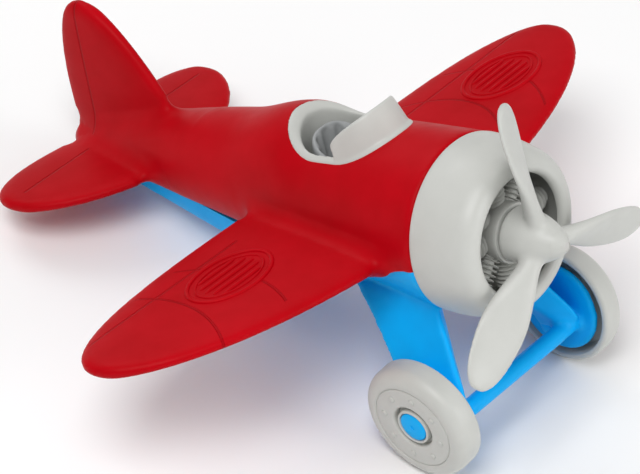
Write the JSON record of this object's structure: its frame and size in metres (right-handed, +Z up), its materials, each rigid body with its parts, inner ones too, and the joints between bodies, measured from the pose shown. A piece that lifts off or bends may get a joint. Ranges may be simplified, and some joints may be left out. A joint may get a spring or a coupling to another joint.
{
  "type": "toy airplane",
  "caption": "Low-wing toy airplane with a spinning propeller, finned radial engine, open cockpit and free-rolling wheels, standing on its wheels and a tail heel.",
  "frame": {"origin": "on the ground under the middle of the airplane's bounding box, as it stands on its wheels and heel", "axes": "+Z up, +X out along the airplane's left wing, -Y towards the nose"},
  "size_m": [0.2648, 0.2463, 0.1443],
  "materials": {
    "red_plastic": "satin moulded polyethylene, crimson",
    "blue_plastic": "satin moulded polyethylene, sky blue",
    "grey_plastic": "satin moulded polyethylene, warm light grey",
    "steel": "plain steel pin"
  },
  "bodies": {
    "airframe": {"body_shell": "red_plastic", "belly_chassis": "blue_plastic", "engine_cowl": "grey_plastic", "engine_crankcase": "grey_plastic", "engine_cylinder_1": "grey_plastic", "engine_cylinder_2": "grey_plastic", "engine_cylinder_3": "grey_plastic", "engine_cylinder_4": "grey_plastic", "engine_cylinder_5": "grey_plastic", "engine_cylinder_6": "grey_plastic", "engine_cylinder_7": "grey_plastic", "engine_cylinder_8": "grey_plastic", "cockpit_frame": "grey_plastic", "pilot_seat": "grey_plastic", "axle_pin_right": "blue_plastic", "axle_pin_left": "blue_plastic"},
    "propeller": {"propeller": "grey_plastic", "propeller_shaft": "steel", "shaft_retainer": "steel"},
    "wheel_right": {"wheel_right": "grey_plastic"},
    "wheel_left": {"wheel_left": "grey_plastic"}
  },
  "joints": [
    {"name": "propeller_spin", "type": "hinge", "parent": "airframe", "child": "propeller", "pos_m": [0, -0.11023, 0.08949], "axis": [0, -0.9511, 0.309], "continuous": true},
    {"name": "wheel_right_spin", "type": "hinge", "parent": "airframe", "child": "wheel_right", "pos_m": [-0.04242, -0.09673, 0.02298], "axis": [-0.9976, -0.0216, -0.0663], "continuous": true},
    {"name": "wheel_left_spin", "type": "hinge", "parent": "airframe", "child": "wheel_left", "pos_m": [0.04242, -0.09673, 0.02298], "axis": [0.9976, -0.0216, -0.0663], "continuous": true}
  ]
}
